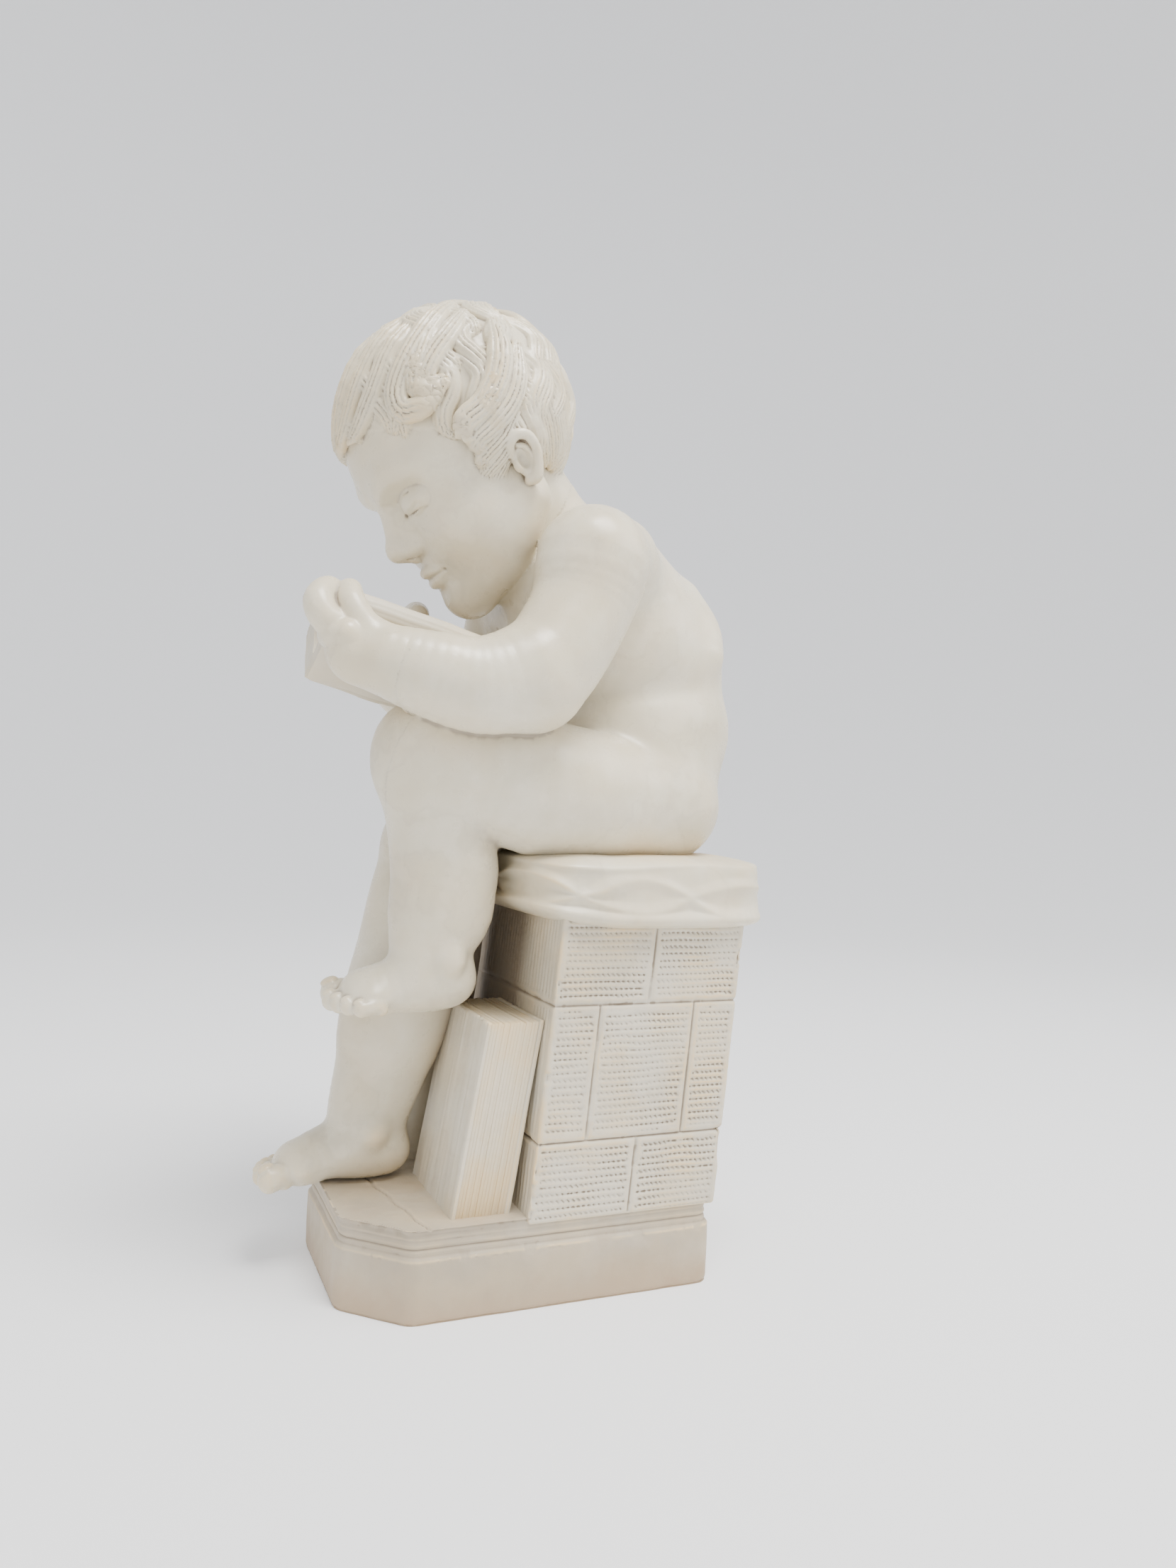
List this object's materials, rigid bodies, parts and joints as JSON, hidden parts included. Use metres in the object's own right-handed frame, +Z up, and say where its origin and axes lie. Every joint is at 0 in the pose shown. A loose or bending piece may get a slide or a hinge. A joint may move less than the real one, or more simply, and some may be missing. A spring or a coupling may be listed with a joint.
{
  "type": "carved stone figurine",
  "caption": "Small carved stone figure of a seated child reading, in one piece with its block seat, folded cloth, two books and low plinth.",
  "frame": {"origin": "centre of the plinth's flat underside", "axes": "+Z up; the child faces -Y; the child's left side is at +X"},
  "size_m": [0.1239, 0.1656, 0.3293],
  "materials": {
    "stone": "soft polish with a warm patina"
  },
  "bodies": {
    "root": {"statue": "stone"}
  },
  "joints": []
}
